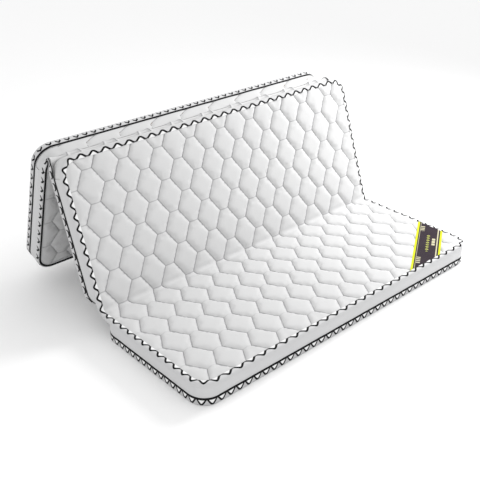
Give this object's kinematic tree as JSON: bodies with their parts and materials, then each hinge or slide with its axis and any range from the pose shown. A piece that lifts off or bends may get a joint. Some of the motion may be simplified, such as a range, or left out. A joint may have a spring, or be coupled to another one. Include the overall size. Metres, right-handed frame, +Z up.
{
  "type": "tri-fold futon mattress",
  "caption": "Folding floor mattress of equal padded panels with a honeycomb-quilted cover, patterned edge tape and fabric fold hinges, standing half folded.",
  "frame": {"origin": "centre of the front panel's underside, on the floor", "axes": "+X along the folds, to the right seen from the front; +Y from the front panel's free edge towards the folds; +Z up"},
  "size_m": [1.8, 1.3827, 0.7694],
  "materials": {
    "quilted_cover": "white knitted fabric quilted in a honeycomb over wadding",
    "border_fabric": "plain white woven fabric with a thin foam backing",
    "edge_tape": "woven tape, white and grey with a black zigzag",
    "label_ribbon": "woven ribbon, near black with yellow edge stripes",
    "felt_pad": "needled felt",
    "coir_board": "bonded coconut fibre board"
  },
  "bodies": {
    "front_panel": {"front_coir_core": "coir_board", "front_top_felt_pad": "felt_pad", "front_bottom_felt_pad": "felt_pad", "front_top_quilt": "quilted_cover", "front_bottom_quilt": "quilted_cover", "front_top_edge_tape": "edge_tape", "front_bottom_edge_tape": "edge_tape", "front_side_border": "border_fabric", "front_fold_wall": "border_fabric", "front_corner_label": "label_ribbon"},
    "middle_panel": {"middle_coir_core": "coir_board", "middle_top_felt_pad": "felt_pad", "middle_bottom_felt_pad": "felt_pad", "middle_top_quilt": "quilted_cover", "middle_bottom_quilt": "quilted_cover", "middle_top_edge_tape": "edge_tape", "middle_bottom_edge_tape": "edge_tape", "middle_fold_wall": "border_fabric", "middle_left_border": "border_fabric", "middle_right_border": "border_fabric", "middle_ridge_gusset": "quilted_cover"},
    "rear_panel": {"rear_coir_core": "coir_board", "rear_top_felt_pad": "felt_pad", "rear_bottom_felt_pad": "felt_pad", "rear_top_quilt": "quilted_cover", "rear_bottom_quilt": "quilted_cover", "rear_top_edge_tape": "edge_tape", "rear_bottom_edge_tape": "edge_tape", "rear_ridge_gusset": "quilted_cover", "rear_side_border": "border_fabric"}
  },
  "joints": [
    {"name": "front_fold", "type": "hinge", "parent": "front_panel", "child": "middle_panel", "pos_m": [0, 0.35, 0.114], "axis": [1, 0, 0], "range_deg": [-70.2, 109.8]},
    {"name": "ridge_fold", "type": "hinge", "parent": "middle_panel", "child": "rear_panel", "pos_m": [0, 0.69814, 0.73264], "axis": [1, 0, 0], "range_deg": [-38.7, 141.3]}
  ]
}
